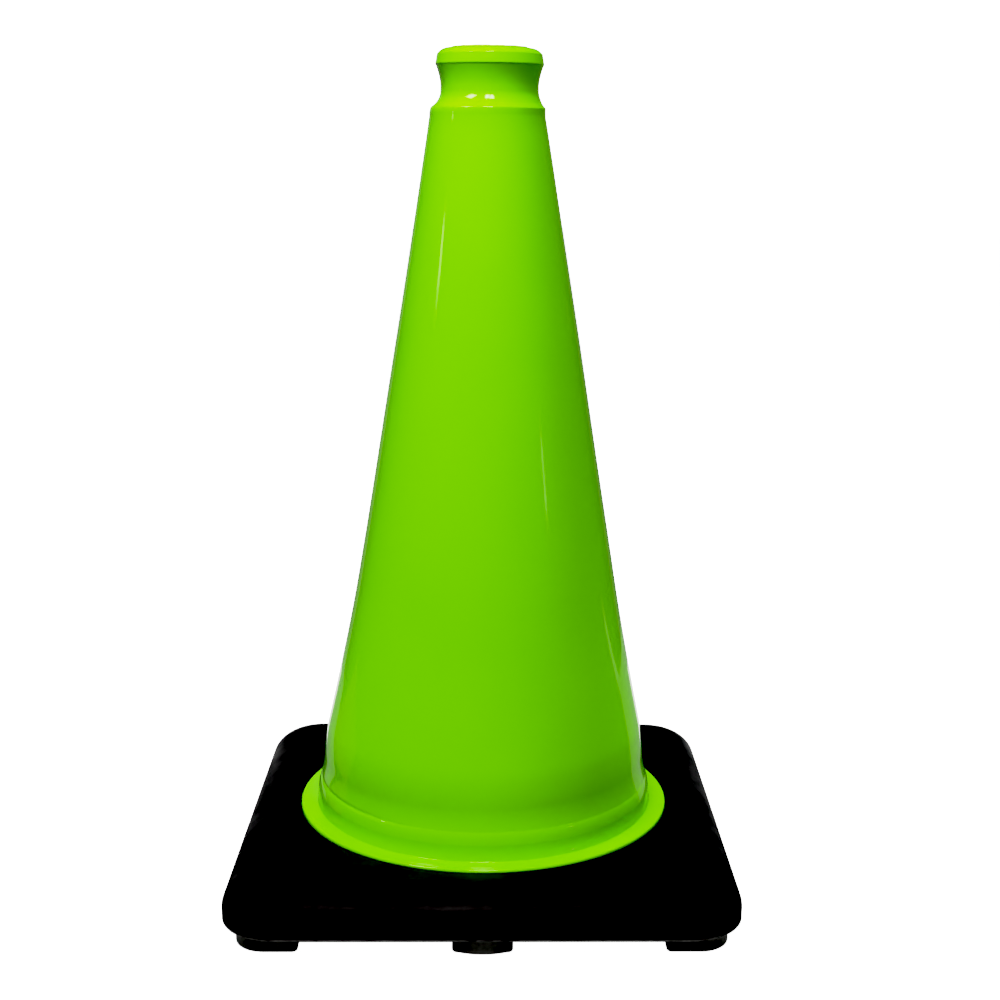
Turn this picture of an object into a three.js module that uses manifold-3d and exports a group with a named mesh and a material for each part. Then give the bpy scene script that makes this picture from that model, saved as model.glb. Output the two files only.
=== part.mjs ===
// An 18 inch traffic cone: a glossy lime PVC cone shell in a heavy square black base, which stands on pads.
// Millimetres, +Z up. The origin is on the ground, on the cone's axis; the base's sides lie along X and Y.

import * as THREE from "three";
import { mergeVertices } from "three/addons/utils/BufferGeometryUtils.js";
import Module from "manifold-3d";

// Overall
const HEIGHT = 457.2; // ground to the top of the rim's trim edge
const BASE_SIDE = 273.05; // across the base's flat sides
const FIT_GAP = 0.3; // clearance where two faces meet
const BORE_GAP = 0.4; // radial clearance between the shell and the base

// Base
const FOOT_HEIGHT = 9.5; // the pads lift the base by this much
const BASE_TOP = 33.8;
const BASE_CORNER = 31; // plan radius of the four corners
const CROWN_IN = 23.5; // the top edge rolls over as a quarter ellipse, this wide
const CROWN_DOWN = 17; // and this tall
const BASE_HEM = 1.2; // small round along the bottom edge
const CORE_TOP = 22; // the underside is cored out up to this height
const CORE_WALL = 10; // left standing around the outside
const CORE_RING = 9; // left standing around the bore
const CORE_MARGIN = 5; // left standing around each foot pad
const RIB = 7;

// Cone shell, lowest stretch first
const WALL = 2.2;
const SKIRT_RADIUS = 93; // the spigot that goes down through the base
const SKIRT_BOTTOM = 4;
const SNAP_LIP = 3; // how far the lip under the base stands out
const SNAP_LIP_HEIGHT = 5;
const FLANGE_RADIUS = 106;
const FLANGE_TOP = 34.9;
const FLANGE_THICKNESS = 3.2;
const FLANGE_BEVEL = 1.4;
const BEAD_RADIUS = 96.4; // the band that stands on the flange
const CREASE_RADIUS = 94; // where the band meets the flare of the cone wall
const CREASE_Z = 50.5;
const WALL_FOOT_RADIUS = 92; // where the cone wall stands upright
const WALL_FOOT_Z = 63;
const SHOULDER_RADIUS = 31.2; // the top of the taper
const SHOULDER_Z = 421.3;
const SHOULDER_EDGE_RADIUS = 30.6; // the crisp edge above it
const SHOULDER_EDGE = 425.8;
const FILLET_RADIUS = 28.9; // the end of the hollow curve from the neck to the sloping shoulder
const FILLET_Z = 427.5;
const NECK_RADIUS = 26.3;
const NECK_Z = 437;
const LIP_RADIUS = 29.1; // the rim's lowest, widest edge
const LIP_Z = 447.9;
const RIM_TOP = 456.4; // the rim's flat top face
const RIM_SIDE_RADIUS = 28.2; // the top of the rim's side
const RIM_FLAT_RADIUS = 23; // where the flat face starts to slope down
const MOUTH_RADIUS = 19.3; // the open top
const TRIM_WIDTH = 1.1; // the thin edge round the mouth, left standing where the moulding was cut open

// Foot pads
const CORNER_PAD = 33.5;
const CORNER_PAD_INSET = 8;
const CORNER_PAD_OUTER = 16; // plan radius of the corner that lies under the corner of the base
const PAD_CORNER = 3; // plan radius of the other corners
const SIDE_PAD_WIDTH = 31.5;
const SIDE_PAD_DEPTH = 26;
const SIDE_PAD_INSET = 5;
const SIDE_PAD_BOW = 2.5; // the outer edge of a side pad is slightly bowed
const PAD_BEVEL = 0.6;
const STUD_RADIUS = 7; // the stud that plugs a pad into the base
const STUD_TOP = 17;

// How finely the round stretches are cut into facets
const ROUND_STEPS = 56;
const CURVE_STEPS = 3;
const STUD_STEPS = 16;

const SHELL_MATERIAL = new THREE.MeshStandardMaterial({ color: "#86d907", roughness: 0.22, metalness: 0 });
const BASE_MATERIAL = new THREE.MeshStandardMaterial({ color: "#0b0b0c", roughness: 0.45, metalness: 0 });
const PAD_MATERIAL = new THREE.MeshStandardMaterial({ color: "#1c1b19", roughness: 0.7, metalness: 0 });

const wasm = await Module();
wasm.setup();

// A closed three.js geometry as a solid that can be cut and joined.
function solidOf(geometry) {
  const bare = geometry.clone();
  bare.deleteAttribute("normal");
  bare.deleteAttribute("uv");
  const merged = mergeVertices(bare);
  return new wasm.Manifold(
    new wasm.Mesh({
      numProp: 3,
      vertProperties: merged.attributes.position.array,
      triVerts: new Uint32Array(merged.index.array),
    }),
  );
}

function geometryOf(solid) {
  const mesh = solid.getMesh();
  const geometry = new THREE.BufferGeometry();
  geometry.setAttribute("position", new THREE.BufferAttribute(mesh.vertProperties, 3));
  geometry.setIndex(new THREE.BufferAttribute(mesh.triVerts, 1));
  geometry.computeVertexNormals();
  return geometry;
}

function namedMesh(name, geometry, material) {
  const mesh = new THREE.Mesh(geometry, material);
  mesh.name = name;
  return mesh;
}

// A cylinder standing on +Z between two heights.
function cylinder(radius, bottom, top, steps) {
  return new THREE.CylinderGeometry(radius, radius, top - bottom, steps)
    .rotateX(Math.PI / 2)
    .translate(0, 0, (bottom + top) / 2);
}

// A square outline centred on the axis, with round corners.
function roundedSquare(side, radius) {
  const half = side / 2;
  const straight = half - radius;
  return new THREE.Shape()
    .moveTo(half, -straight)
    .lineTo(half, straight)
    .absarc(straight, straight, radius, 0, Math.PI / 2)
    .absarc(-straight, straight, radius, Math.PI / 2, Math.PI)
    .absarc(-straight, -straight, radius, Math.PI, Math.PI * 1.5)
    .absarc(straight, -straight, radius, Math.PI * 1.5, Math.PI * 2);
}

// The cone wall's curve, from the shoulder down to its upright foot, offset inwards by the wall thickness for the
// inside. It is nearly straight and flares slightly towards the bottom.
function taperDown(path, inset) {
  path.quadraticCurveTo(51.7 - inset, 292.5, 73 - inset, 165);
  path.bezierCurveTo(77.7 - inset, 137, 84.4 - inset, 106, 89.6 - inset, 82);
  path.bezierCurveTo(90.7 - inset, 77, 91.75 - inset, 68.5, WALL_FOOT_RADIUS - inset, WALL_FOOT_Z);
  return path;
}

// One flexible moulding: rim, neck, shoulder, tapered wall, band, flange, and a skirt with a snap lip.
// The profile runs down the outside, in at the lip and up the inside.
function coneShell() {
  const neckInside = NECK_RADIUS - WALL;
  const skirtInside = SKIRT_RADIUS - WALL;
  const flangeUnderside = FLANGE_TOP - FLANGE_THICKNESS;
  const lipTop = FOOT_HEIGHT - FIT_GAP;

  const outside = new THREE.Path()
    .moveTo(MOUTH_RADIUS, HEIGHT)
    .lineTo(MOUTH_RADIUS + TRIM_WIDTH, HEIGHT)
    .lineTo(MOUTH_RADIUS + TRIM_WIDTH + 0.3, RIM_TOP)
    .lineTo(RIM_FLAT_RADIUS, RIM_TOP)
    .lineTo(RIM_SIDE_RADIUS - 1.5, RIM_TOP - 1.4)
    .quadraticCurveTo(RIM_SIDE_RADIUS - 0.1, RIM_TOP - 1.9, RIM_SIDE_RADIUS, RIM_TOP - 3.1)
    .lineTo(LIP_RADIUS, LIP_Z + 0.3)
    .lineTo(LIP_RADIUS - 0.4, LIP_Z - 0.3)
    .quadraticCurveTo(NECK_RADIUS + 0.25, LIP_Z - 6.2, NECK_RADIUS, NECK_Z)
    .lineTo(NECK_RADIUS, FILLET_Z + 6.5)
    .quadraticCurveTo(NECK_RADIUS + 0.2, FILLET_Z + 3.3, FILLET_RADIUS, FILLET_Z)
    .lineTo(SHOULDER_EDGE_RADIUS, SHOULDER_EDGE)
    .lineTo(SHOULDER_EDGE_RADIUS + 0.35, SHOULDER_EDGE - 0.7)
    .lineTo(SHOULDER_RADIUS, SHOULDER_Z);
  taperDown(outside, 0)
    .quadraticCurveTo(WALL_FOOT_RADIUS + 0.25, CREASE_Z + 6.5, CREASE_RADIUS, CREASE_Z)
    .quadraticCurveTo(BEAD_RADIUS - 1.2, CREASE_Z - 2.5, BEAD_RADIUS - 0.4, CREASE_Z - 7)
    .lineTo(BEAD_RADIUS, FLANGE_TOP + 0.4)
    .lineTo(BEAD_RADIUS + 0.4, FLANGE_TOP)
    .lineTo(FLANGE_RADIUS - FLANGE_BEVEL, FLANGE_TOP)
    .lineTo(FLANGE_RADIUS, FLANGE_TOP - FLANGE_BEVEL)
    .lineTo(FLANGE_RADIUS, flangeUnderside)
    .lineTo(SKIRT_RADIUS, flangeUnderside)
    .lineTo(SKIRT_RADIUS, lipTop)
    .lineTo(SKIRT_RADIUS + SNAP_LIP, lipTop)
    .lineTo(SKIRT_RADIUS + SNAP_LIP, lipTop - 1)
    .lineTo(SKIRT_RADIUS, lipTop - SNAP_LIP_HEIGHT)
    .lineTo(SKIRT_RADIUS, SKIRT_BOTTOM)
    .lineTo(skirtInside, SKIRT_BOTTOM);

  const inside = new THREE.Path()
    .moveTo(MOUTH_RADIUS, RIM_TOP)
    .lineTo(MOUTH_RADIUS, LIP_Z)
    .quadraticCurveTo(neckInside, LIP_Z - 2, neckInside, NECK_Z)
    .lineTo(neckInside, SHOULDER_EDGE + 3)
    .quadraticCurveTo(neckInside + 0.5, SHOULDER_Z + 1.5, SHOULDER_RADIUS - WALL, SHOULDER_Z - 2);
  taperDown(inside, WALL).lineTo(skirtInside, CREASE_Z - 2);

  const up = inside.getPoints(CURVE_STEPS).reverse();
  const down = outside.getPoints(CURVE_STEPS);
  const profile = [...up, ...down].reverse();
  profile.push(profile[0].clone());
  return new THREE.LatheGeometry(profile, ROUND_STEPS).rotateX(Math.PI / 2);
}

// A block centred on (x, y) between the ground and the top of the cores, turned about the axis.
function coreBlock(width, depth, x, y, angle) {
  return solidOf(new THREE.BoxGeometry(width, depth, 2 * CORE_TOP + 2).translate(x, y, 0).rotateZ(angle));
}

// Everything hollowed out of the underside: the inside of the outer wall, less a ring around the bore,
// a boss for each foot pad, a rib along each diagonal and a rib each side of every side boss.
function underCores() {
  const coreSide = BASE_SIDE - 2 * CORE_WALL;
  const cores = new THREE.ExtrudeGeometry(roundedSquare(coreSide, BASE_CORNER - CORE_WALL), {
    depth: CORE_TOP,
    bevelEnabled: false,
    curveSegments: 4,
  });
  const ring = cylinder(SKIRT_RADIUS + BORE_GAP + CORE_RING, -1, CORE_TOP + 1, ROUND_STEPS);
  const cornerBoss = CORNER_PAD + CORNER_PAD_INSET + CORE_MARGIN;
  const cornerCentre = (BASE_SIDE - cornerBoss) / 2;
  const quarter = Math.PI / 2;
  let hollow = solidOf(cores).subtract(solidOf(ring));
  for (let turn = 0; turn < 4; turn += 1) {
    const angle = turn * quarter;
    hollow = hollow
      .subtract(coreBlock(SIDE_PAD_WIDTH + 2 * CORE_MARGIN, BASE_SIDE / 2, 0, -BASE_SIDE / 2, angle))
      .subtract(coreBlock(cornerBoss, cornerBoss, cornerCentre, -cornerCentre, angle))
      .subtract(coreBlock(RIB, BASE_SIDE, 0, -BASE_SIDE / 2, angle + quarter / 2))
      .subtract(coreBlock(RIB, BASE_SIDE, 0, -BASE_SIDE / 2, angle + quarter / 4))
      .subtract(coreBlock(RIB, BASE_SIDE, 0, -BASE_SIDE / 2, angle - quarter / 4));
  }
  return hollow;
}

// The slab: a pillow-like crown, an upright side, a small hem, the bore for the skirt, the seat for the
// flange, the cored underside and a round socket for each foot pad.
function baseSlab(pads) {
  const crowned = new THREE.ExtrudeGeometry(roundedSquare(BASE_SIDE, BASE_CORNER), {
    depth: BASE_TOP - CROWN_DOWN,
    bevelSize: CROWN_IN,
    bevelThickness: CROWN_DOWN,
    bevelOffset: -CROWN_IN,
    bevelSegments: 6,
    curveSegments: 7,
  });
  const hemmed = new THREE.ExtrudeGeometry(roundedSquare(BASE_SIDE, BASE_CORNER), {
    depth: BASE_TOP,
    bevelSize: BASE_HEM,
    bevelThickness: BASE_HEM,
    bevelOffset: -BASE_HEM,
    bevelSegments: 2,
    curveSegments: 7,
  }).translate(0, 0, FOOT_HEIGHT + BASE_HEM);
  const flangeSeat = FLANGE_TOP - FLANGE_THICKNESS - FIT_GAP;
  let slab = solidOf(crowned)
    .intersect(solidOf(hemmed))
    .subtract(solidOf(cylinder(SKIRT_RADIUS + BORE_GAP, 0, HEIGHT, ROUND_STEPS)))
    .subtract(solidOf(cylinder(FLANGE_RADIUS + BORE_GAP, flangeSeat, HEIGHT, ROUND_STEPS)))
    .subtract(underCores());
  for (const { stud } of pads) {
    const socket = cylinder(STUD_RADIUS + FIT_GAP, 0, STUD_TOP + FIT_GAP, STUD_STEPS);
    slab = slab.subtract(solidOf(socket.translate(stud.x, stud.y, 0)));
  }
  return geometryOf(slab);
}

// A pad's plan outline extruded to the underside of the base, with its round stud on top.
function padGeometry(outline, stud) {
  const block = new THREE.ExtrudeGeometry(outline, {
    depth: FOOT_HEIGHT - FIT_GAP - 2 * PAD_BEVEL,
    bevelSize: PAD_BEVEL,
    bevelThickness: PAD_BEVEL,
    bevelOffset: -PAD_BEVEL,
    bevelSegments: 1,
    curveSegments: 4,
  }).translate(0, 0, PAD_BEVEL);
  const peg = cylinder(STUD_RADIUS, FOOT_HEIGHT / 2, STUD_TOP, STUD_STEPS).translate(stud.x, stud.y, 0);
  return geometryOf(solidOf(block).add(solidOf(peg)));
}

// The pad under the +X, -Y corner, with one wide round towards the corner of the base.
function cornerPadOutline() {
  const far = BASE_SIDE / 2 - CORNER_PAD_INSET;
  const near = far - CORNER_PAD;
  const quarter = Math.PI / 2;
  return new THREE.Shape()
    .moveTo(near + PAD_CORNER, -far)
    .lineTo(far - CORNER_PAD_OUTER, -far)
    .absarc(far - CORNER_PAD_OUTER, -far + CORNER_PAD_OUTER, CORNER_PAD_OUTER, -quarter, 0)
    .absarc(far - PAD_CORNER, -near - PAD_CORNER, PAD_CORNER, 0, quarter)
    .absarc(near + PAD_CORNER, -near - PAD_CORNER, PAD_CORNER, quarter, 2 * quarter)
    .absarc(near + PAD_CORNER, -far + PAD_CORNER, PAD_CORNER, 2 * quarter, 3 * quarter);
}

// The pad at the middle of the -Y side.
function sidePadOutline() {
  const half = SIDE_PAD_WIDTH / 2;
  const front = -BASE_SIDE / 2 + SIDE_PAD_INSET;
  const back = front + SIDE_PAD_DEPTH;
  const straight = half - PAD_CORNER;
  const cornerY = front + SIDE_PAD_BOW + PAD_CORNER;
  const quarter = Math.PI / 2;
  return new THREE.Shape()
    .moveTo(-straight, front + SIDE_PAD_BOW)
    .quadraticCurveTo(0, front - SIDE_PAD_BOW, straight, front + SIDE_PAD_BOW)
    .absarc(straight, cornerY, PAD_CORNER, -quarter, 0)
    .absarc(straight, back - PAD_CORNER, PAD_CORNER, 0, quarter)
    .absarc(-straight, back - PAD_CORNER, PAD_CORNER, quarter, 2 * quarter)
    .absarc(-straight, cornerY, PAD_CORNER, 2 * quarter, 3 * quarter);
}

// Four corner pads and four side pads: each kind is one shape turned in quarter turns about the axis.
function footPads() {
  const cornerCentre = BASE_SIDE / 2 - CORNER_PAD_INSET - CORNER_PAD / 2;
  const sideCentre = BASE_SIDE / 2 - SIDE_PAD_INSET - SIDE_PAD_DEPTH / 2;
  const kinds = [
    {
      outline: cornerPadOutline(),
      stud: new THREE.Vector3(cornerCentre, -cornerCentre, 0),
      names: ["foot_pad_front_right", "foot_pad_back_right", "foot_pad_back_left", "foot_pad_front_left"],
    },
    {
      outline: sidePadOutline(),
      stud: new THREE.Vector3(0, -sideCentre, 0),
      names: ["foot_pad_front", "foot_pad_right", "foot_pad_back", "foot_pad_left"],
    },
  ];
  return kinds.flatMap(({ outline, stud, names }) =>
    names.map((name, turn) => {
      const angle = (turn * Math.PI) / 2;
      return {
        name,
        geometry: padGeometry(outline, stud).rotateZ(angle),
        stud: stud.clone().applyAxisAngle(new THREE.Vector3(0, 0, 1), angle),
      };
    }),
  );
}

const cone = new THREE.Group();
const pads = footPads();
cone.add(namedMesh("cone_shell", coneShell(), SHELL_MATERIAL));
cone.add(namedMesh("base", baseSlab(pads), BASE_MATERIAL));
for (const { name, geometry } of pads) {
  cone.add(namedMesh(name, geometry, PAD_MATERIAL.clone()));
}

export default cone;
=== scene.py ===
"""A lime traffic cone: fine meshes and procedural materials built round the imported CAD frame.
Lengths are in metres, +Z is up, and the camera stands on the -Y side."""

import math

import bpy
from mathutils import Matrix, Vector, noise


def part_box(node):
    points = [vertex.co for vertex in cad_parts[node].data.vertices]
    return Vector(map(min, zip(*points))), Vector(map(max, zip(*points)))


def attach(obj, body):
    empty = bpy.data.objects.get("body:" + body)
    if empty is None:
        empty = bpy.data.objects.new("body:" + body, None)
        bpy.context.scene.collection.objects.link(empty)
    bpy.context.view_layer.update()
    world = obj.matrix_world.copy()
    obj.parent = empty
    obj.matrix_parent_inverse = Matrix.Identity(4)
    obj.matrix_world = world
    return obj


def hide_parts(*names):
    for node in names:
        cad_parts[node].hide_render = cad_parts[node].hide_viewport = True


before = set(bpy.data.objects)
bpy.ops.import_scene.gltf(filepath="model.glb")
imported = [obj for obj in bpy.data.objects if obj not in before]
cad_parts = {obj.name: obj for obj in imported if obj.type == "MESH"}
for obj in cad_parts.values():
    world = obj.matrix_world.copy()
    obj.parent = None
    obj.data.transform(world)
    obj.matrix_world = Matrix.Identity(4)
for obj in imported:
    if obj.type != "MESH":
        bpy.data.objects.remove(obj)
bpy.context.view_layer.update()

MM = 0.001
QUARTER = math.pi / 2

# Places read from the frame
shell_low, shell_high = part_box("cone_shell")
base_low, base_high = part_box("base")
HEIGHT = shell_high.z
FLANGE_RADIUS = shell_high.x
SKIRT_BOTTOM = shell_low.z
BASE_SIDE = base_high.x - base_low.x
BASE_TOP = base_high.z
BASE_BOTTOM = base_low.z

# The shell, as in the CAD
WALL = 2.2 * MM
SKIRT_RADIUS = 93 * MM
SNAP_LIP = 3 * MM
SNAP_LIP_HEIGHT = 5 * MM
FLANGE_TOP = 34.9 * MM
FLANGE_BOTTOM = FLANGE_TOP - 3.2 * MM
FLANGE_BEVEL = 1.4 * MM
BEAD_RADIUS = 96.4 * MM
CREASE_RADIUS = 94 * MM
CREASE_Z = 50.5 * MM
WALL_FOOT_RADIUS = 92 * MM
WALL_FOOT_Z = 63 * MM
SHOULDER_RADIUS = 31.2 * MM
SHOULDER_Z = 421.3 * MM
SHOULDER_EDGE_RADIUS = 30.6 * MM
SHOULDER_EDGE = 425.8 * MM
FILLET_RADIUS = 28.9 * MM
FILLET_Z = 427.5 * MM
NECK_RADIUS = 26.3 * MM
NECK_Z = 437 * MM
LIP_RADIUS = 29.1 * MM
LIP_Z = 447.9 * MM
RIM_TOP = 456.4 * MM
RIM_SIDE_RADIUS = 28.2 * MM
RIM_FLAT_RADIUS = 23 * MM
MOUTH_RADIUS = 19.3 * MM
TRIM_WIDTH = 1.1 * MM
FIT_GAP = 0.3 * MM
BORE_GAP = 0.4 * MM

# The long wall's curve, as in the CAD: the points that steer it from the shoulder down, (radius, height)
UPPER_WALL = ((51.7 * MM, 292.5 * MM), (73 * MM, 165 * MM))
MIDDLE_WALL = ((77.7 * MM, 137 * MM), (84.4 * MM, 106 * MM), (89.6 * MM, 82 * MM))
LOWER_WALL = ((90.7 * MM, 77 * MM), (91.75 * MM, 68.5 * MM), (WALL_FOOT_RADIUS, WALL_FOOT_Z))

# How the real moulding strays from the true shape, which the CAD keeps
WALL_LEAN = 1 * MM
WALL_LEAN_START = 75 * MM
NECK_LEAN = 1.1 * MM
NECK_LEAN_RISE = 9 * MM
WALL_WAVE = 0.35 * MM
WALL_WAVE_START = 60 * MM
WALL_WAVE_SPAN = 355 * MM
WALL_WAVE_LENGTH = 110 * MM
MOULD_LINE = 0.04 * MM
MOULD_LINE_WIDTH = 0.32 * MM
GROOVE = 0.3 * MM
GROOVE_WIDTH = 0.9 * MM
TRIM_DIP = 0.5 * MM
CROWN_WAVE = 0.55 * MM
CROWN_WAVE_LENGTH = 42 * MM

# The base, as in the CAD
BASE_CORNER = 31 * MM
CROWN_IN = 23.5 * MM
CROWN_DOWN = 17 * MM
BASE_HEM = 1.2 * MM
CORE_TOP = 22 * MM
CORE_WALL = 10 * MM
CORE_RING = 9 * MM
CORE_MARGIN = 5 * MM
RIB = 7 * MM

# The foot pads, as in the CAD
CORNER_PAD_OUTER = 16 * MM
PAD_CORNER = 3 * MM
SIDE_PAD_BOW = 2.5 * MM
STUD_RADIUS = 7 * MM

# Softened edges of the pads
PAD_SOLE_ROUND = 0.9 * MM
PAD_TOP_ROUND = 0.5 * MM
STUD_ROUND = 1 * MM

# The camera: its place, and the turns that aim it, in degrees
CAMERA_PLACE = (1.2 * MM, -893.1 * MM, 402.9 * MM)
CAMERA_HEADING = -1.384
CAMERA_DOWN = 12.154
CAMERA_ROLL = 0.625
CAMERA_LENS = 58.24
CAMERA_SHIFT = -0.0257

# The studio
CARD_EDGE = 138 * MM
BACKDROP_RADIUS = 8
BACKDROP_HEIGHTS = (-6, 12)
LAMP_DISTANCE = 1.25
LAMP_COLOUR = (1.0, 0.97, 0.95)
FLOOR_GLOW = 3.0
BACKDROP_GLOW = 4.0

# The picture's response: the levels shown as black and white, which curve bends all three colours together,
# and pairs of light that arrives and light that is shown
BLACK_LEVEL = 0.04
WHITE_LEVEL = 3.0
COMBINED_CURVE = 3
TONES = (
    (0.10, 0.06), (0.20, 0.165), (0.33, 0.295), (0.45, 0.44),
    (0.58, 0.565), (0.75, 0.65), (1.0, 0.73), (1.4, 0.80))


# Outline tools ------------------------------------------------------------------------------------

def clamp(value):
    """The value, held between 0 and 1."""
    return min(1.0, max(0.0, value))


def quadratic(start, control, end, steps):
    """Points along a curve with one control point, without its start."""
    points = []
    for i in range(1, steps + 1):
        t = i / steps
        points.append(tuple(
            (1 - t) ** 2 * a + 2 * t * (1 - t) * b + t * t * c for a, b, c in zip(start, control, end)))
    return points


def cubic(start, first, second, end, steps):
    """Points along a curve with two control points, without its start."""
    points = []
    for i in range(1, steps + 1):
        t = i / steps
        points.append(tuple(
            (1 - t) ** 3 * a + 3 * t * (1 - t) ** 2 * b + 3 * t * t * (1 - t) * c + t ** 3 * d
            for a, b, c, d in zip(start, first, second, end)))
    return points


def arc(centre_x, centre_y, radius, start, end, steps):
    """Points along a circular arc, both ends included."""
    return [
        (centre_x + radius * math.cos(start + (end - start) * i / steps),
         centre_y + radius * math.sin(start + (end - start) * i / steps))
        for i in range(steps + 1)]


def rounded_square(side, radius, corner_steps=20, side_steps=16):
    """A square outline with round corners, anticlockwise from the middle of the +X side."""
    straight = side / 2 - radius
    outline = []
    for turn in range(4):
        turned = []
        for i in range(side_steps // 2):
            turned.append((side / 2, straight * i / (side_steps // 2)))
        turned += arc(straight, straight, radius, 0, QUARTER, corner_steps)
        for i in range(1, side_steps // 2):
            turned.append((straight * (1 - i / (side_steps // 2)), side / 2))
        c, s = math.cos(turn * QUARTER), math.sin(turn * QUARTER)
        outline += [(x * c - y * s, x * s + y * c) for x, y in turned]
    return outline


def circle_facing(outline, radius, centre=(0.0, 0.0)):
    """A circle with one point in the direction of each of the outline's points, seen from the centre."""
    points = []
    for x, y in outline:
        angle = math.atan2(y - centre[1], x - centre[0])
        points.append((centre[0] + radius * math.cos(angle), centre[1] + radius * math.sin(angle)))
    return points


def between(first, second, share):
    """The outline that lies a share of the way from the first outline to the second."""
    return [
        (a[0] + (b[0] - a[0]) * share, a[1] + (b[1] - a[1]) * share)
        for a, b in zip(first, second)]


def inset(outline, distance):
    """A convex closed outline moved inwards along its own normals."""
    moved = []
    for i, point in enumerate(outline):
        before, after = Vector(outline[i - 1]), Vector(outline[(i + 1) % len(outline)])
        along = (after - before).normalized()
        moved.append((point[0] - along.y * distance, point[1] + along.x * distance))
    return moved


def at_height(outline, z):
    return [(x, y, z) for x, y in outline]


# Mesh tools ---------------------------------------------------------------------------------------

def mesh_object(name, vertices, faces, smooth_angle=38):
    mesh = bpy.data.meshes.new(name)
    mesh.from_pydata(vertices, [], faces)
    mesh.validate()
    mesh.update()
    piece = bpy.data.objects.new(name, mesh)
    bpy.context.scene.collection.objects.link(piece)
    shade_smooth(piece, smooth_angle)
    return piece


def shade_smooth(piece, angle):
    """Smooth shading, with edges sharper than the angle left crisp."""
    mesh = piece.data
    mesh.polygons.foreach_set("use_smooth", [True] * len(mesh.polygons))
    mesh.set_sharp_from_angle(angle=math.radians(angle))


def loft(name, rings, closed, smooth_angle=38):
    """A skin over rings of equally many points. A closed loft joins its last ring to its first, and an
    open one is capped by a fan at each end. The rings run anticlockwise seen from above, in an order that
    leaves the solid inside."""
    count = len(rings[0])
    vertices = [point for ring in rings for point in ring]
    faces = []
    for r in range(len(rings) if closed else len(rings) - 1):
        low, high = r * count, ((r + 1) % len(rings)) * count
        for i in range(count):
            j = (i + 1) % count
            faces.append((low + i, low + j, high + j, high + i))
    if not closed:
        for ring, flip in ((0, True), (len(rings) - 1, False)):
            centre = [sum(p[k] for p in rings[ring]) / count for k in range(3)]
            vertices.append(tuple(centre))
            for i in range(count):
                a, b = ring * count + i, ring * count + (i + 1) % count
                faces.append((len(vertices) - 1, b, a) if flip else (len(vertices) - 1, a, b))
    return mesh_object(name, vertices, faces, smooth_angle)


def apply_modifiers(piece):
    """Put the mesh that the modifiers make in the place of the piece's own."""
    bpy.context.view_layer.update()
    evaluated = piece.evaluated_get(bpy.context.evaluated_depsgraph_get())
    mesh = bpy.data.meshes.new_from_object(evaluated)
    piece.modifiers.clear()
    piece.data = mesh


# Cone shell ---------------------------------------------------------------------------------------

def rim_outline():
    """From the mouth's raised trim over the rim and down its side to the lip."""
    trim_side = MOUTH_RADIUS + TRIM_WIDTH
    trim_foot = (trim_side + 0.8 * MM, RIM_TOP)
    slope_control = (RIM_FLAT_RADIUS + 2.9 * MM, RIM_TOP - 0.3 * MM)
    slope_end = (RIM_SIDE_RADIUS - 0.3 * MM, RIM_TOP - 2.7 * MM)
    corner = (RIM_SIDE_RADIUS, RIM_TOP - 2.95 * MM)
    side_start = (RIM_SIDE_RADIUS + 0.04 * MM, RIM_TOP - 3.3 * MM)
    p = [(MOUTH_RADIUS + 0.25 * MM, HEIGHT), (trim_side - 0.2 * MM, HEIGHT)]
    p += quadratic(p[-1], (trim_side, RIM_TOP), trim_foot, 5)
    p.append((RIM_FLAT_RADIUS, RIM_TOP))
    p += quadratic(p[-1], slope_control, slope_end, 8)
    p += quadratic(p[-1], corner, side_start, 4)
    p.append((LIP_RADIUS - 0.1 * MM, LIP_Z + 0.8 * MM))
    p.append((LIP_RADIUS, LIP_Z + 0.3 * MM))
    return p


def neck_outline(start):
    """Round the lip's edge, down the hollow neck and out to the shoulder."""
    lip_under = (LIP_RADIUS - 0.35 * MM, LIP_Z - 0.35 * MM)
    neck_control = (NECK_RADIUS + 0.25 * MM, LIP_Z - 6.2 * MM)
    neck_foot = (NECK_RADIUS + 0.05 * MM, FILLET_Z + 6.5 * MM)
    fillet_control = (NECK_RADIUS + 0.2 * MM, FILLET_Z + 3.3 * MM)
    edge_control = (SHOULDER_EDGE_RADIUS + 0.3 * MM, SHOULDER_EDGE - 0.3 * MM)
    edge_end = (SHOULDER_EDGE_RADIUS + 0.35 * MM, SHOULDER_EDGE - 0.7 * MM)
    p = quadratic(start, (LIP_RADIUS, LIP_Z), lip_under, 4)
    p += quadratic(p[-1], neck_control, (NECK_RADIUS, NECK_Z), 16)
    p.append(neck_foot)
    p += quadratic(p[-1], fillet_control, (FILLET_RADIUS, FILLET_Z), 14)
    p.append((SHOULDER_EDGE_RADIUS, SHOULDER_EDGE))
    p += quadratic(p[-1], edge_control, edge_end, 3)
    p += quadratic(p[-1], (SHOULDER_RADIUS, SHOULDER_Z + 2 * MM), (SHOULDER_RADIUS, SHOULDER_Z), 5)
    return p


def taper_down(start, shift):
    """The long wall from the shoulder to its upright foot, moved inwards by shift for the inside face."""
    def moved(points):
        return [(radius - shift, z) for radius, z in points]
    points = quadratic(start, *moved(UPPER_WALL), 26)
    points += cubic(points[-1], *moved(MIDDLE_WALL), 14)
    points += cubic(points[-1], *moved(LOWER_WALL), 10)
    return points


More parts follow.
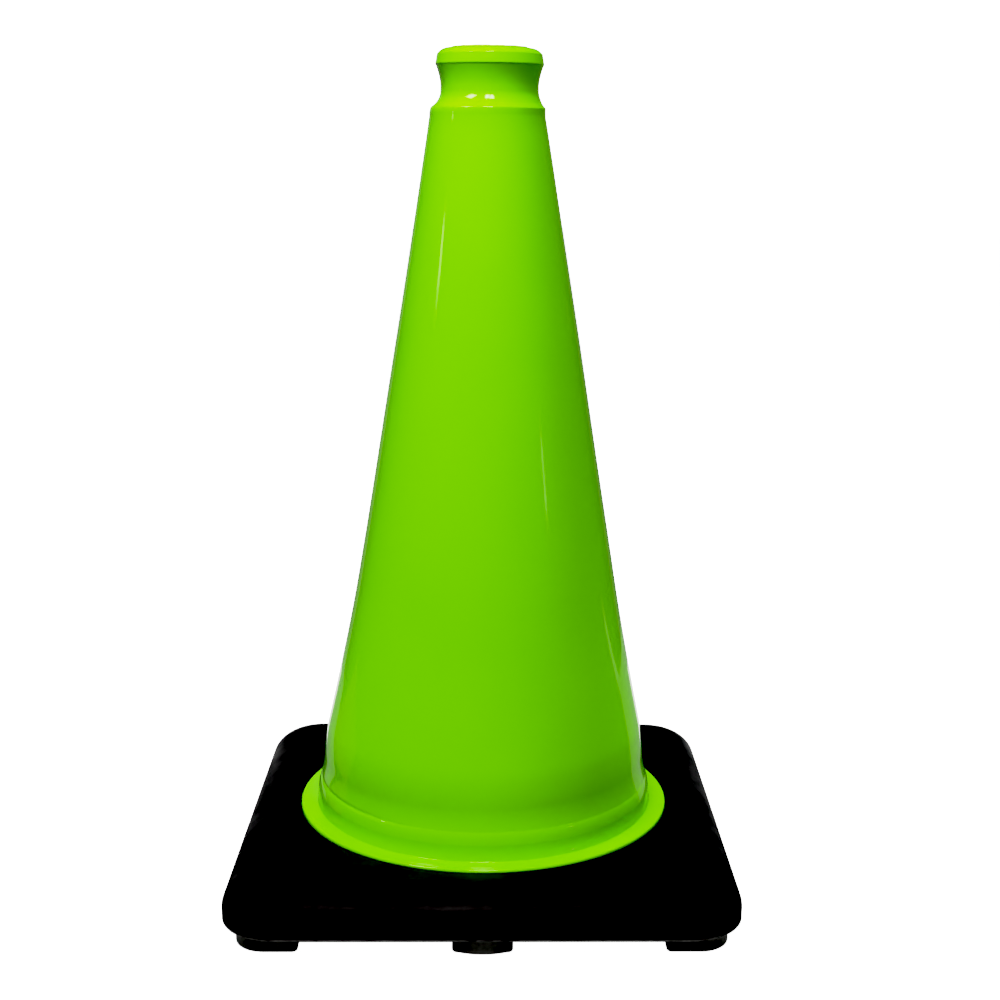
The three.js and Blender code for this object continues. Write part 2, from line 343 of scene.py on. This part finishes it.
def flange_outline(start):
    """The flare at the wall's foot, the crease, the bead and the flange down to its lower edge."""
    flare_control = (WALL_FOOT_RADIUS + 0.25 * MM, CREASE_Z + 6.5 * MM)
    bead_control = (BEAD_RADIUS - 1.2 * MM, CREASE_Z - 2.5 * MM)
    bead_side = (BEAD_RADIUS - 0.4 * MM, CREASE_Z - 7 * MM)
    p = quadratic(start, flare_control, (CREASE_RADIUS, CREASE_Z), 22)
    p += quadratic(p[-1], bead_control, bead_side, 14)
    p.append((BEAD_RADIUS, FLANGE_TOP + 0.4 * MM))
    p.append((BEAD_RADIUS + 0.4 * MM, FLANGE_TOP))
    p.append((FLANGE_RADIUS - FLANGE_BEVEL, FLANGE_TOP))
    p += quadratic(p[-1], (FLANGE_RADIUS, FLANGE_TOP), (FLANGE_RADIUS, FLANGE_TOP - FLANGE_BEVEL), 6)
    p.append((FLANGE_RADIUS, FLANGE_BOTTOM))
    return p


def outside_outline():
    """(radius, z) points down the outside, from the mouth to the flange's lower edge."""
    p = rim_outline()
    p += neck_outline(p[-1])
    p += taper_down(p[-1], 0)
    p += flange_outline(p[-1])
    return p


def skirt_outline():
    """Down the skirt below the flange, round its snap lip and its foot, and up its inside."""
    skirt_inside = SKIRT_RADIUS - WALL
    lip_side = SKIRT_RADIUS + SNAP_LIP
    lip_top = BASE_BOTTOM - FIT_GAP
    p = [(SKIRT_RADIUS + 0.5 * MM, FLANGE_BOTTOM), (SKIRT_RADIUS, FLANGE_BOTTOM - 0.5 * MM)]
    p.append((SKIRT_RADIUS, lip_top))
    p.append((lip_side - 0.3 * MM, lip_top))
    p += quadratic(p[-1], (lip_side, lip_top), (lip_side, lip_top - 0.8 * MM), 4)
    p.append((SKIRT_RADIUS + 0.3 * MM, lip_top - SNAP_LIP_HEIGHT))
    p += quadratic(p[-1], (SKIRT_RADIUS, SKIRT_BOTTOM), (SKIRT_RADIUS - 0.6 * MM, SKIRT_BOTTOM), 4)
    p.append((skirt_inside + 0.5 * MM, SKIRT_BOTTOM))
    p += quadratic(p[-1], (skirt_inside, SKIRT_BOTTOM), (skirt_inside, SKIRT_BOTTOM + 0.5 * MM), 4)
    p.append((skirt_inside, CREASE_Z - 2 * MM))
    return p


def inside_outline():
    """Up the inside, from the wall's foot to the mouth."""
    neck_inside = NECK_RADIUS - WALL
    shoulder = (SHOULDER_RADIUS - WALL, SHOULDER_Z - 2 * MM)
    shoulder_control = (neck_inside + 0.5 * MM, SHOULDER_Z + 1.5 * MM)
    p = ([shoulder] + taper_down(shoulder, WALL))[::-1]
    p += quadratic(shoulder, shoulder_control, (neck_inside, SHOULDER_EDGE + 3 * MM), 8)
    p.append((neck_inside, NECK_Z))
    p += quadratic(p[-1], (neck_inside, LIP_Z - 2 * MM), (MOUTH_RADIUS, LIP_Z), 8)
    p.append((MOUTH_RADIUS, HEIGHT - 0.3 * MM))
    return p


def shell_angles():
    """Directions round the axis, closer together at the front and back, where the mould's halves met."""
    angles = [2 * math.pi * i / 240 for i in range(240)]
    for middle in (-QUARTER, QUARTER):
        for degrees in (0.35, 0.7, 1.05):
            angles += [middle - math.radians(degrees), middle + math.radians(degrees)]
    return sorted({round(a % (2 * math.pi), 6) for a in angles})


def parting_ridge(radius, angle, z):
    """How far the mould line stands out. It runs only between the shoulder and the rim, on the neck that
    two slides of the mould formed."""
    fade = clamp((z - SHOULDER_Z + 4 * MM) / (3 * MM))
    fade *= clamp((LIP_Z + 2 * MM - z) / (3 * MM))
    across = min(abs(angle - middle) for middle in (QUARTER, 3 * QUARTER)) * radius
    return MOULD_LINE * fade * math.exp(-(across / MOULD_LINE_WIDTH) ** 2)


def wall_wave(angle, z):
    """A soft moulding is never quite true: a broad, shallow wave in the long wall, none at its ends."""
    fade = math.sin(math.pi * clamp((z - WALL_WAVE_START) / WALL_WAVE_SPAN)) ** 0.5
    place = Vector((math.cos(angle) * 1.1, math.sin(angle) * 1.1, z / WALL_WAVE_LENGTH))
    return WALL_WAVE * fade * noise.noise(place)


def crease_depth(angle, z):
    """A fine groove where the wall meets the bead, clear on the left side and gone at the front."""
    share = clamp((-math.cos(angle) - 0.40) / 0.35)
    return GROOVE * share * math.exp(-((z - CREASE_Z) / GROOVE_WIDTH) ** 2)


def sideways(z):
    """The wall bows a little to the right, and the neck and rim stand a little to the right of the
    shoulder."""
    along = clamp((z - WALL_LEAN_START) / (SHOULDER_Z - WALL_LEAN_START))
    share = clamp((z - SHOULDER_Z - 1 * MM) / NECK_LEAN_RISE)
    return WALL_LEAN * math.sin(math.pi * along) ** 0.7 + NECK_LEAN * share * share * (3 - 2 * share)


def trim_dip(angle):
    """How far the trimmed edge of the mouth dips: it rises and falls a little."""
    place = Vector((math.cos(angle) * 3.2, math.sin(angle) * 3.2, 7.0))
    return TRIM_DIP * abs(noise.noise(place))


def cone_shell():
    outside = outside_outline()
    profile = outside + skirt_outline() + inside_outline()
    angles = shell_angles()
    rings = []
    for k, (radius, z) in enumerate(profile):
        ring = []
        for angle in angles:
            r = radius + wall_wave(angle, z)
            if k < len(outside):
                r += parting_ridge(radius, angle, z) - crease_depth(angle, z)
            height = z - (trim_dip(angle) if z == HEIGHT else 0)
            ring.append((r * math.cos(angle) + sideways(z), r * math.sin(angle), height))
        rings.append(ring)
    return loft("lime_shell", rings[::-1], closed=True, smooth_angle=50)


# Base ---------------------------------------------------------------------------------------------

def base_outline(in_by):
    """The slab's outline, moved inwards."""
    return rounded_square(BASE_SIDE - 2 * in_by, BASE_CORNER - in_by)


def block(name, width, depth, height, x, y, angle):
    """A plain cutter, centred on (x, y), turned about the axis."""
    signs = ((-1, -1), (1, -1), (1, 1), (-1, 1))
    corners = [(x + sx * width / 2, y + sy * depth / 2) for sx, sy in signs]
    turn = Matrix.Rotation(angle, 2)
    corners = [tuple(turn @ Vector(c)) for c in corners]
    return loft(name, [at_height(corners, -height), at_height(corners, height)], closed=False)


def cut(piece, other):
    """Cut the other piece out of this one, and delete the other."""
    modifier = piece.modifiers.new("cut", "BOOLEAN")
    modifier.operation = "DIFFERENCE"
    modifier.solver = "EXACT"
    modifier.object = other
    apply_modifiers(piece)
    bpy.data.objects.remove(other)


def under_cores():
    """The hollows of the underside, as one cutter with rounded upright corners."""
    square = base_outline(CORE_WALL)
    circle = circle_facing(square, SKIRT_RADIUS + BORE_GAP + CORE_RING)
    rings = [at_height(circle, 0), at_height(square, 0)]
    rings += [at_height(square, CORE_TOP), at_height(circle, CORE_TOP)]
    cores = loft("cores", rings, closed=True)
    pad_low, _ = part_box("foot_pad_front_right")
    boss = BASE_SIDE / 2 - pad_low.x + CORE_MARGIN
    boss_centre = (BASE_SIDE - boss) / 2
    side_low, side_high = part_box("foot_pad_front")
    side_boss = side_high.x - side_low.x + 2 * CORE_MARGIN
    deep = CORE_TOP + 5 * MM
    for turn in range(4):
        angle = turn * QUARTER
        cut(cores, block("boss", side_boss, BASE_SIDE / 2, deep, 0, -BASE_SIDE / 2, angle))
        cut(cores, block("boss", boss, boss, deep, boss_centre, -boss_centre, angle))
        for offset in (QUARTER / 2, QUARTER / 4, -QUARTER / 4):
            cut(cores, block("rib", RIB, BASE_SIDE, deep, 0, -BASE_SIDE / 2, angle + offset))
    return cores


def crown_wave(x, y):
    """The slab's rounded edge is slightly uneven, so its highlight wanders."""
    place = Vector((x / CROWN_WAVE_LENGTH, y / CROWN_WAVE_LENGTH, 3.0))
    return CROWN_WAVE * noise.noise(place)


def seat_rings(edge, crown_edge):
    """Up the bore, out over the flange's seat and across the flat top to the crown."""
    bore = circle_facing(edge, SKIRT_RADIUS + BORE_GAP)
    bore_entry = circle_facing(edge, SKIRT_RADIUS + BORE_GAP + 0.6 * MM)
    seat = circle_facing(edge, FLANGE_RADIUS + BORE_GAP)
    seat_lip = circle_facing(edge, FLANGE_RADIUS + BORE_GAP + 0.3 * MM)
    seat_floor = FLANGE_BOTTOM - FIT_GAP
    rings = [at_height(bore_entry, BASE_BOTTOM), at_height(bore, BASE_BOTTOM + 0.6 * MM)]
    rings += [at_height(bore, seat_floor - 0.5 * MM), at_height(bore_entry, seat_floor)]
    rings += [at_height(seat, seat_floor), at_height(seat, BASE_TOP - 0.3 * MM)]
    rings += [at_height(seat_lip, BASE_TOP)]
    rings += [at_height(between(seat_lip, crown_edge, share), BASE_TOP) for share in (0.25, 0.5, 0.75)]
    return rings


def crown_rings():
    """Down the slab's rounded upper edge, a quarter of an ellipse."""
    steps = 18
    rings = []
    for i in range(steps + 1):
        turn = QUARTER * i / steps
        z = BASE_TOP - CROWN_DOWN * (1 - math.cos(turn))
        swell = math.sin(2 * turn) ** 2
        outline = base_outline(CROWN_IN * (1 - math.sin(turn)))
        rings.append([(x, y, z + crown_wave(x, y) * swell) for x, y in outline])
    return rings


def hem_rings(edge):
    """Down the upright side and round the lower edge."""
    rings = [at_height(edge, BASE_BOTTOM + BASE_HEM + 2 * MM)]
    steps = 4
    for i in range(steps + 1):
        turn = QUARTER * i / steps
        outline = base_outline(BASE_HEM * (1 - math.cos(turn)))
        rings.append(at_height(outline, BASE_BOTTOM + BASE_HEM * (1 - math.sin(turn))))
    return rings


def base_slab():
    edge = base_outline(0)
    rings = seat_rings(edge, base_outline(CROWN_IN)) + crown_rings() + hem_rings(edge)
    hem = base_outline(BASE_HEM)
    bore_entry = circle_facing(edge, SKIRT_RADIUS + BORE_GAP + 0.6 * MM)
    rings += [at_height(between(hem, bore_entry, share), BASE_BOTTOM) for share in (0.3, 0.6, 0.9)]
    slab = loft("black_base", rings[::-1], closed=True)
    cut(slab, under_cores())
    shade_smooth(slab, 38)
    return slab


# Foot pads ----------------------------------------------------------------------------------------

def corner_pad_outline(size, outer):
    """A pad for the +X, -Y corner, centred on the origin."""
    half = size / 2
    inner = half - PAD_CORNER
    return (arc(half - outer, -half + outer, outer, -QUARTER, 0, 22)
            + arc(inner, inner, PAD_CORNER, 0, QUARTER, 8)
            + arc(-inner, inner, PAD_CORNER, QUARTER, 2 * QUARTER, 8)
            + arc(-inner, -inner, PAD_CORNER, 2 * QUARTER, 3 * QUARTER, 8))


def side_pad_outline(width, depth):
    """A pad for the -Y side, centred on the origin, with a bowed outer edge."""
    half, front, back = width / 2, -depth / 2, depth / 2
    straight = half - PAD_CORNER
    corner_y = front + SIDE_PAD_BOW + PAD_CORNER
    start = (-straight, front + SIDE_PAD_BOW)
    bow = quadratic(start, (0, front - SIDE_PAD_BOW), (straight, front + SIDE_PAD_BOW), 16)
    return ([start] + bow[:-1]
            + arc(straight, corner_y, PAD_CORNER, -QUARTER, 0, 8)
            + arc(straight, back - PAD_CORNER, PAD_CORNER, 0, QUARTER, 8)
            + arc(-straight, back - PAD_CORNER, PAD_CORNER, QUARTER, 2 * QUARTER, 8)
            + arc(-straight, corner_y, PAD_CORNER, 2 * QUARTER, 3 * QUARTER, 8)[:-1])


def foot_pad(node, outline, turns):
    """A block with softened edges and a round stud, standing where the CAD node stands."""
    low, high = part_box(node)
    centre_x, centre_y = (low.x + high.x) / 2, (low.y + high.y) / 2
    top = BASE_BOTTOM - FIT_GAP
    rings = []
    steps = 3
    for i in range(steps + 1):
        turn = QUARTER * i / steps
        shrunk = inset(outline, PAD_SOLE_ROUND * (1 - math.sin(turn)))
        rings.append(at_height(shrunk, PAD_SOLE_ROUND * (1 - math.cos(turn))))
    top_outline = inset(outline, PAD_TOP_ROUND)
    stud = circle_facing(outline, STUD_RADIUS)
    rings.append(at_height(outline, top - PAD_TOP_ROUND))
    rings.append(at_height(top_outline, top))
    rings.append(at_height(between(top_outline, stud, 0.6), top))
    rings.append(at_height(stud, top))
    rings.append(at_height(stud, high.z - STUD_ROUND))
    rings.append(at_height(circle_facing(outline, STUD_RADIUS - STUD_ROUND), high.z))
    angle = turns * QUARTER
    c, s = round(math.cos(angle)), round(math.sin(angle))
    placed = [
        [(centre_x + x * c - y * s, centre_y + x * s + y * c, z) for x, y, z in ring]
        for ring in rings]
    return loft(node.replace("foot_pad", "rubber_pad"), placed, closed=False, smooth_angle=40)


def foot_pads():
    low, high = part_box("foot_pad_front_right")
    corner = corner_pad_outline(high.x - low.x, CORNER_PAD_OUTER)
    low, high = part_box("foot_pad_front")
    side = side_pad_outline(high.x - low.x, high.y - low.y)
    pads = {}
    for turns, place in enumerate(("front_right", "back_right", "back_left", "front_left")):
        pads["foot_pad_" + place] = foot_pad("foot_pad_" + place, corner, turns)
    for turns, place in enumerate(("front", "right", "back", "left")):
        pads["foot_pad_" + place] = foot_pad("foot_pad_" + place, side, turns)
    return pads


# Materials ----------------------------------------------------------------------------------------

class Graph:
    """A small helper that adds and links the nodes of one material."""

    def __init__(self, name):
        self.material = bpy.data.materials.new(name)
        self.material.use_nodes = True
        self.tree = self.material.node_tree
        self.shader = self.tree.nodes["Principled BSDF"]
        self.place = self.tree.nodes.new("ShaderNodeTexCoord").outputs["Object"]

    def noise(self, scale, detail=2.0, rough=0.5, distort=0.0, stretch=None):
        node = self.tree.nodes.new("ShaderNodeTexNoise")
        node.inputs["Scale"].default_value = scale
        node.inputs["Detail"].default_value = detail
        node.inputs["Roughness"].default_value = rough
        node.inputs["Distortion"].default_value = distort
        source = self.place
        if stretch:
            mapping = self.tree.nodes.new("ShaderNodeMapping")
            mapping.inputs["Scale"].default_value = stretch
            self.tree.links.new(self.place, mapping.inputs["Vector"])
            source = mapping.outputs["Vector"]
        self.tree.links.new(source, node.inputs["Vector"])
        return node.outputs["Fac"]

    def ramp(self, value, stops):
        node = self.tree.nodes.new("ShaderNodeValToRGB")
        self.tree.links.new(value, node.inputs["Fac"])
        elements = node.color_ramp.elements
        while len(elements) < len(stops):
            elements.new(0.5)
        for element, (position, colour) in zip(elements, stops):
            element.position = position
            element.color = (*colour, 1)
        return node.outputs["Color"]

    def spread(self, value, low, high, from_low=0.3, from_high=0.7):
        """The value, which runs from from_low to from_high, stretched to run from low to high."""
        node = self.tree.nodes.new("ShaderNodeMapRange")
        self.tree.links.new(value, node.inputs["Value"])
        node.inputs["From Min"].default_value = from_low
        node.inputs["From Max"].default_value = from_high
        node.inputs["To Min"].default_value = low
        node.inputs["To Max"].default_value = high
        return node.outputs["Result"]

    def height(self):
        node = self.tree.nodes.new("ShaderNodeSeparateXYZ")
        self.tree.links.new(self.place, node.inputs["Vector"])
        return node.outputs["Z"]

    def math(self, operation, first, second):
        node = self.tree.nodes.new("ShaderNodeMath")
        node.operation = operation
        self.tree.links.new(first, node.inputs[0])
        self.tree.links.new(second, node.inputs[1])
        return node.outputs["Value"]

    def sum(self, first, second):
        return self.math("ADD", first, second)

    def mix(self, share, first, second):
        node = self.tree.nodes.new("ShaderNodeMix")
        node.data_type = "RGBA"
        self.tree.links.new(share, node.inputs["Factor"])
        self.tree.links.new(first, node.inputs["A"])
        self.tree.links.new(second, node.inputs["B"])
        return node.outputs["Result"]

    def bump(self, height, strength, distance, below=None):
        node = self.tree.nodes.new("ShaderNodeBump")
        node.inputs["Strength"].default_value = strength
        node.inputs["Distance"].default_value = distance
        self.tree.links.new(height, node.inputs["Height"])
        if below is not None:
            self.tree.links.new(below, node.inputs["Normal"])
        return node.outputs["Normal"]

    def set(self, **sockets):
        for name, value in sockets.items():
            socket = self.shader.inputs[name.replace("_", " ")]
            if isinstance(value, (int, float, tuple)):
                socket.default_value = value
            else:
                self.tree.links.new(value, socket)
        return self.material


def lime_pvc():
    """Glossy lime plastic with faint clouds and ripples; duller where the mouth was cut, with a paler olive
    band there painted in as the highlight along the top edge.
    """
    g = Graph("lime_pvc")
    colour = g.ramp(g.noise(9, 3, 0.55), [(0.32, (0.192, 0.630, 0.0030)), (0.68, (0.206, 0.662, 0.0034))])
    trimmed = g.spread(g.height(), 0, 1, RIM_TOP + 0.1 * MM, RIM_TOP + 0.4 * MM)
    # The cut top edge: a dull olive for the cut surface, and paler, bluer shades that are a painted
    # highlight along the edge.
    cut_edge_and_highlight = g.ramp(g.noise(500, 2), [(0.3, (0.20, 0.36, 0.010)), (0.7, (0.34, 0.50, 0.060))])
    colour = g.mix(trimmed, colour, cut_edge_and_highlight)
    gloss = g.sum(g.spread(g.noise(14, 4, 0.6, 0.4), 0.05, 0.09), g.spread(g.noise(420, 2), 0.0, 0.02))
    roughness = g.sum(gloss, g.spread(trimmed, 0, 0.3, 0, 1))
    ripple = g.bump(g.noise(38, 2, 0.4, stretch=(1, 1, 0.35)), 0.10, 0.0006)
    normal = g.bump(g.noise(900, 2), 0.05, 0.0001, ripple)
    return g.set(Base_Color=colour, Roughness=roughness, Normal=normal, IOR=1.5)


def black_pvc():
    """Satin black plastic with a fine pebble grain, and a pale band painted along its lower edge as a
    reflection of the pale floor.
    """
    g = Graph("black_pvc")
    colour = g.ramp(g.noise(60, 4, 0.6), [(0.3, (0.010, 0.010, 0.0105)), (0.75, (0.018, 0.018, 0.019))])
    hem = g.spread(g.height(), 1, 0, BASE_BOTTOM + 0.8 * MM, BASE_BOTTOM + 2.2 * MM)
    # Painted reflection: the pale floor mirrored in the slab's lower edge, as a pale grey band broken up by
    # noise.
    floor_reflection_share = g.math("MULTIPLY", hem, g.spread(g.noise(110, 4, 0.6), 0.3, 1))
    painted_floor_reflection = g.ramp(g.noise(300, 3), [(0.3, (0.15, 0.15, 0.15)), (0.7, (0.22, 0.22, 0.215))])
    colour = g.mix(floor_reflection_share, colour, painted_floor_reflection)
    roughness = g.spread(g.noise(45, 5, 0.65, 0.3), 0.34, 0.44)
    pebble = g.bump(g.noise(1500, 3, 0.6), 0.16, 0.0002)
    swell = g.bump(g.noise(15, 1), 1.0, 0.005, pebble)
    normal = g.bump(g.noise(38, 3), 0.35, 0.0012, swell)
    return g.set(Base_Color=colour, Roughness=roughness, Normal=normal, IOR=1.45, Specular_IOR_Level=0.08)


def pad_rubber():
    """Matt rubber, painted a far lighter grey than black rubber to stand in for the light the pads catch
    under the slab.
    """
    g = Graph("pad_rubber")
    # Painted light: greys much paler than black rubber, standing in for light on the pads; the noise only
    # varies the tone.
    painted_light_greys = [(0.3, (0.12, 0.119, 0.115)), (0.7, (0.165, 0.163, 0.157))]
    colour = g.ramp(g.noise(160, 5, 0.7), painted_light_greys)
    roughness = g.spread(g.noise(90, 3), 0.62, 0.8)
    normal = g.bump(g.noise(700, 4, 0.7), 0.30, 0.0003)
    return g.set(Base_Color=colour, Roughness=roughness, Normal=normal, IOR=1.5)


# Studio -------------------------------------------------------------------------------------------

def glow(name, colour, strength):
    material = bpy.data.materials.new(name)
    material.use_nodes = True
    tree = material.node_tree
    tree.nodes.clear()
    emission = tree.nodes.new("ShaderNodeEmission")
    emission.inputs["Color"].default_value = (*colour, 1)
    emission.inputs["Strength"].default_value = strength
    output = tree.nodes.new("ShaderNodeOutputMaterial")
    tree.links.new(emission.outputs["Emission"], output.inputs["Surface"])
    return material


def pale_floor():
    """A matt white that also glows, so that the floor shows as white as the backdrop."""
    material = bpy.data.materials.new("pale_floor")
    material.use_nodes = True
    shader = material.node_tree.nodes["Principled BSDF"]
    shader.inputs["Base Color"].default_value = (0.9, 0.9, 0.9, 1)
    shader.inputs["Roughness"].default_value = 0.9
    shader.inputs["Specular IOR Level"].default_value = 0
    shader.inputs["Emission Color"].default_value = (1, 1, 1, 1)
    shader.inputs["Emission Strength"].default_value = FLOOR_GLOW
    return material


def flat_sheet(name, corners, z, material):
    sheet = mesh_object(name, at_height(corners, z), [(0, 1, 2, 3)])
    sheet.data.materials.append(material)
    return sheet


def floor_light(name, corners, z, strength, colour=(1, 1, 1), glossy=True):
    """A bright patch of the table top, seen either in reflections or only as bounced light."""
    patch = flat_sheet(name, corners, z, glow(name + "_glow", colour, strength))
    patch.visible_camera = patch.visible_shadow = False
    patch.visible_glossy = glossy
    patch.visible_diffuse = not glossy
    return patch


def direction(azimuth, elevation):
    """A unit vector from the object; azimuth 0 is towards the camera, positive to the right."""
    a, e = math.radians(azimuth), math.radians(elevation)
    return Vector((math.sin(a) * math.cos(e), -math.cos(a) * math.cos(e), math.sin(e)))


def softbox(name, azimuth, elevation, distance, width, height, radiance,
            colour=(1, 1, 1), target=(0, 0, 0.22), roll=0):
    """An area light of a given radiance, facing the target."""
    data = bpy.data.lights.new(name, "AREA")
    data.shape = "RECTANGLE"
    data.size, data.size_y = width, height
    data.energy = radiance * math.pi * width * height
    data.color = colour
    lamp = bpy.data.objects.new(name, data)
    bpy.context.scene.collection.objects.link(lamp)
    towards = direction(azimuth, elevation)
    place = Matrix.Translation(Vector(target) + towards * distance)
    facing = towards.to_track_quat("Z", "Y").to_matrix().to_4x4()
    lamp.matrix_world = place @ facing @ Matrix.Rotation(math.radians(roll), 4, "Z")
    lamp.visible_camera = False
    return lamp


def soft_room(below, above):
    """A dim surround for diffuse light, a little stronger from below. It has no reflection."""
    world = bpy.data.worlds.new("soft_room")
    world.use_nodes = True
    tree = world.node_tree
    background = tree.nodes["Background"]
    background.inputs["Color"].default_value = (0.90, 1.0, 0.98, 1)
    place = tree.nodes.new("ShaderNodeTexCoord")
    height = tree.nodes.new("ShaderNodeSeparateXYZ")
    strength = tree.nodes.new("ShaderNodeMapRange")
    tree.links.new(place.outputs["Generated"], height.inputs["Vector"])
    tree.links.new(height.outputs["Z"], strength.inputs["Value"])
    strength.inputs["From Min"].default_value = -0.3
    strength.inputs["From Max"].default_value = 0.5
    strength.inputs["To Min"].default_value = below
    strength.inputs["To Max"].default_value = above
    tree.links.new(strength.outputs["Result"], background.inputs["Strength"])
    world.cycles_visibility.glossy = False
    return world


def surroundings():
    """The floor and the backdrop. They whiten the picture, and throw no light on the object."""
    floor = flat_sheet("floor", ((-9, -9), (9, -9), (9, 9), (-9, 9)), 0, pale_floor())
    floor.visible_glossy = floor.visible_diffuse = False
    wall = arc(0, 0, BACKDROP_RADIUS, 0, 2 * math.pi, 48)[:-1]
    backdrop = loft("backdrop", [at_height(wall, z) for z in BACKDROP_HEIGHTS], closed=False)
    backdrop.data.materials.append(glow("backdrop_glow", (1, 1, 1), BACKDROP_GLOW))
    backdrop.visible_diffuse = backdrop.visible_glossy = backdrop.visible_shadow = False


def floor_lights():
    """What the pale table gives back: reflections low in the gloss, and light on the base's sides."""
    for side, name, reach in ((-1, "left", 0.44), (1, "right", 0.66)):
        near, far = side * CARD_EDGE, side * reach
        edge = ((near, 0.06), (side * 0.22, 0.08), (far, 0.40), (near, 0.60))
        floor_light("edge_" + name, edge, -0.002, 0.38)
        bounce = ((side * 0.14, -0.14), (side * 0.40, -0.14), (side * 0.40, 0.40), (side * 0.14, 0.40))
        floor_light("bounce_" + name, bounce, -0.004, 2.5, glossy=False)
    front = ((-0.20, -0.26), (0.20, -0.26), (0.20, -CARD_EDGE), (-0.20, -CARD_EDGE))
    floor_light("bounce_front", front, -0.004, 0.7, glossy=False)
    behind = ((-0.145, 0.14), (0.145, 0.14), (0.26, 0.40), (-0.26, 0.40))
    floor_light("edge_behind", behind, -0.0015, 1.5)
    warm = ((-0.24, 0.02), (-0.95, 0.12), (-0.95, 0.55), (-0.32, 0.30))
    floor_light("warm_left", warm, -0.003, 0.22, (1.0, 0.95, 0.7))
    streak = ((0.31, 0.25), (0.33, 0.31), (1.25, 0.68), (1.25, 0.60))
    floor_light("streak_right", streak, -0.003, 0.6)


def lamps():
    """Two lamps in front that show as the highlights on the neck, with a broad key light above them, pale
    lights behind for the edges, and small ones that glint on the wall."""
    key = softbox("key", -17, 66, LAMP_DISTANCE, 0.40, 0.40, 28, LAMP_COLOUR)
    softbox("lamp_front", 0, 51, LAMP_DISTANCE, 0.30, 0.40, 20, LAMP_COLOUR)
    softbox("lamp_left", -49, 48, LAMP_DISTANCE, 0.44, 0.30, 15, LAMP_COLOUR, roll=-40)
    softbox("sky_left", -158, 2, 2.0, 0.9, 1.6, 0.25)
    softbox("sky_right", 158, 2, 2.0, 0.9, 1.6, 0.15)
    rim_right = softbox("rim_right", 138, 18, 1.8, 0.9, 0.9, 9.0)
    rim_left = softbox("rim_left", -165, 35, 1.8, 0.9, 0.9, 5.0)
    softbox("glint_left", -72, 11, 1.7, 0.10, 0.10, 6, target=(0, 0, 0.33))
    softbox("glint_right", 59, 5, 1.7, 0.07, 0.10, 3)
    for unreflected in (key, rim_right, rim_left):
        unreflected.visible_glossy = False


def photo_camera():
    """The camera stands in front of the object, higher than its middle, and looks slightly down."""
    data = bpy.data.cameras.new("camera")
    data.sensor_width = 36
    data.lens = CAMERA_LENS
    data.shift_x = CAMERA_SHIFT
    data.clip_start, data.clip_end = 0.01, 50
    camera = bpy.data.objects.new("camera", data)
    bpy.context.scene.collection.objects.link(camera)
    heading = Matrix.Rotation(math.radians(CAMERA_HEADING), 4, "Z")
    tilt = Matrix.Rotation(math.radians(90 - CAMERA_DOWN), 4, "X")
    roll = Matrix.Rotation(math.radians(CAMERA_ROLL), 4, "Z")
    camera.matrix_world = Matrix.Translation(CAMERA_PLACE) @ heading @ tilt @ roll
    bpy.context.scene.camera = camera


def develop(settings):
    """A photographic response: the darkest tones go black, bright lime is held back, and only strong
    highlights and the background reach white."""
    settings.view_transform = "Standard"
    settings.look = "None"
    settings.use_curve_mapping = True
    mapping = settings.curve_mapping
    mapping.black_level = (BLACK_LEVEL,) * 3
    mapping.white_level = (WHITE_LEVEL,) * 3
    curve = mapping.curves[COMBINED_CURVE]
    for light, shown in TONES:
        curve.points.new((light - BLACK_LEVEL) / (WHITE_LEVEL - BLACK_LEVEL), shown)
    mapping.update()


# Assembly -----------------------------------------------------------------------------------------

def dress(piece, node, material):
    """Give a piece its material, hang it from the root body, and hide the CAD node that it stands in for.
    """
    piece.data.materials.clear()
    piece.data.materials.append(material)
    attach(piece, "root")
    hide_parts(node)


photo_camera()
surroundings()
floor_lights()
lamps()
bpy.context.scene.world = soft_room(below=0.06, above=0.05)
dress(cone_shell(), "cone_shell", lime_pvc())
dress(base_slab(), "base", black_pvc())
rubber = pad_rubber()
for node_name, pad in foot_pads().items():
    dress(pad, node_name, rubber)

develop(bpy.context.scene.view_settings)
